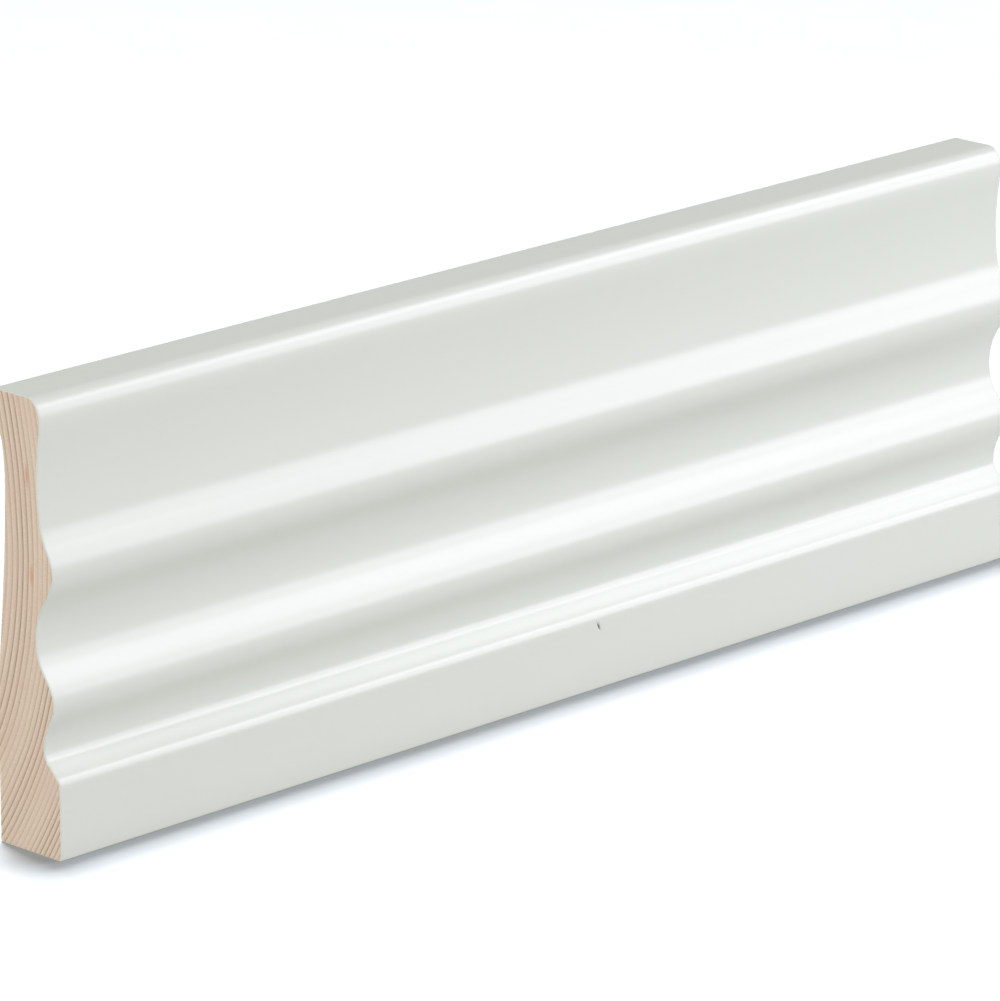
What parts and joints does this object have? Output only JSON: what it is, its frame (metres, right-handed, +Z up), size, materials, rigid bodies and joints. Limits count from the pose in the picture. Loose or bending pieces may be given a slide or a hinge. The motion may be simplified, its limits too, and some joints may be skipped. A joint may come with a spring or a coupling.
{
  "type": "cover strip",
  "caption": "Straight white-painted pine cover strip with a plain lower band, a quirk, rounded noses and hollows, a broad shallow upper face and a hollowed back, cut square.",
  "frame": {"origin": "middle of the underside: half way along the length and half way through the thickness, at the bottom edge", "axes": "+X along the strip, -Y out of the moulded face, +Y out of the back towards the wall, +Z up from the thick edge to the thin edge"},
  "size_m": [0.29, 0.018, 0.095],
  "materials": {
    "painted_pine": "satin white paint on the face and edges, bare pine at the sawn ends and the back"
  },
  "bodies": {
    "root": {"cover_strip": "painted_pine"}
  },
  "joints": []
}
